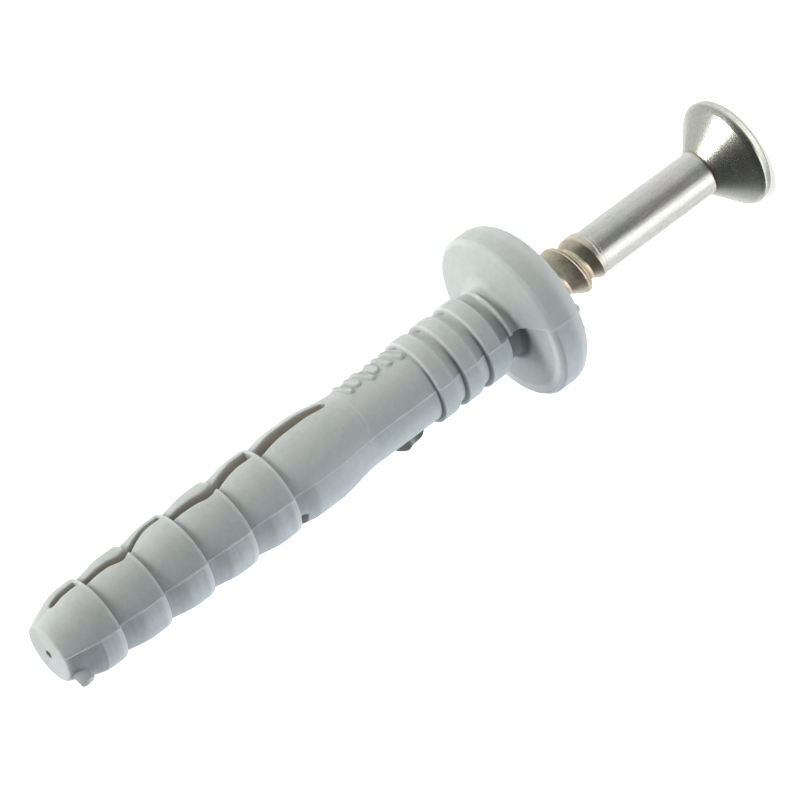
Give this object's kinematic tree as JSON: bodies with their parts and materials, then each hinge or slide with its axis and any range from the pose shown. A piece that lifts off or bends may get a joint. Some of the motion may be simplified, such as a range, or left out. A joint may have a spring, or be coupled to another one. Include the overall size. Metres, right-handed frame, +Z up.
{
  "type": "hammer fixing plug",
  "caption": "Nail-in wall fixing: a ringed plastic expansion sleeve with zigzag slits and a round collar, holding a part-driven countersunk screw nail.",
  "frame": {"origin": "centre of the nail head's flat top, on the surface the part stands on", "axes": "+Z up the part's own axis, from the nail's head to the sleeve's tip; +X and +Y across it"},
  "size_m": [0.0118, 0.0118, 0.0576],
  "materials": {
    "sleeve_plastic": "matte moulded polyamide, light grey",
    "nail_steel": "zinc plated steel, faintly iridescent"
  },
  "bodies": {
    "sleeve": {"plug_sleeve": "sleeve_plastic"},
    "nail": {"drive_nail": "nail_steel"}
  },
  "joints": [
    {"name": "nail_drive", "type": "slide", "parent": "sleeve", "child": "nail", "axis": [0, 0, 1], "range_m": [0, 0.0175], "deforming": ["plug_sleeve"]}
  ]
}
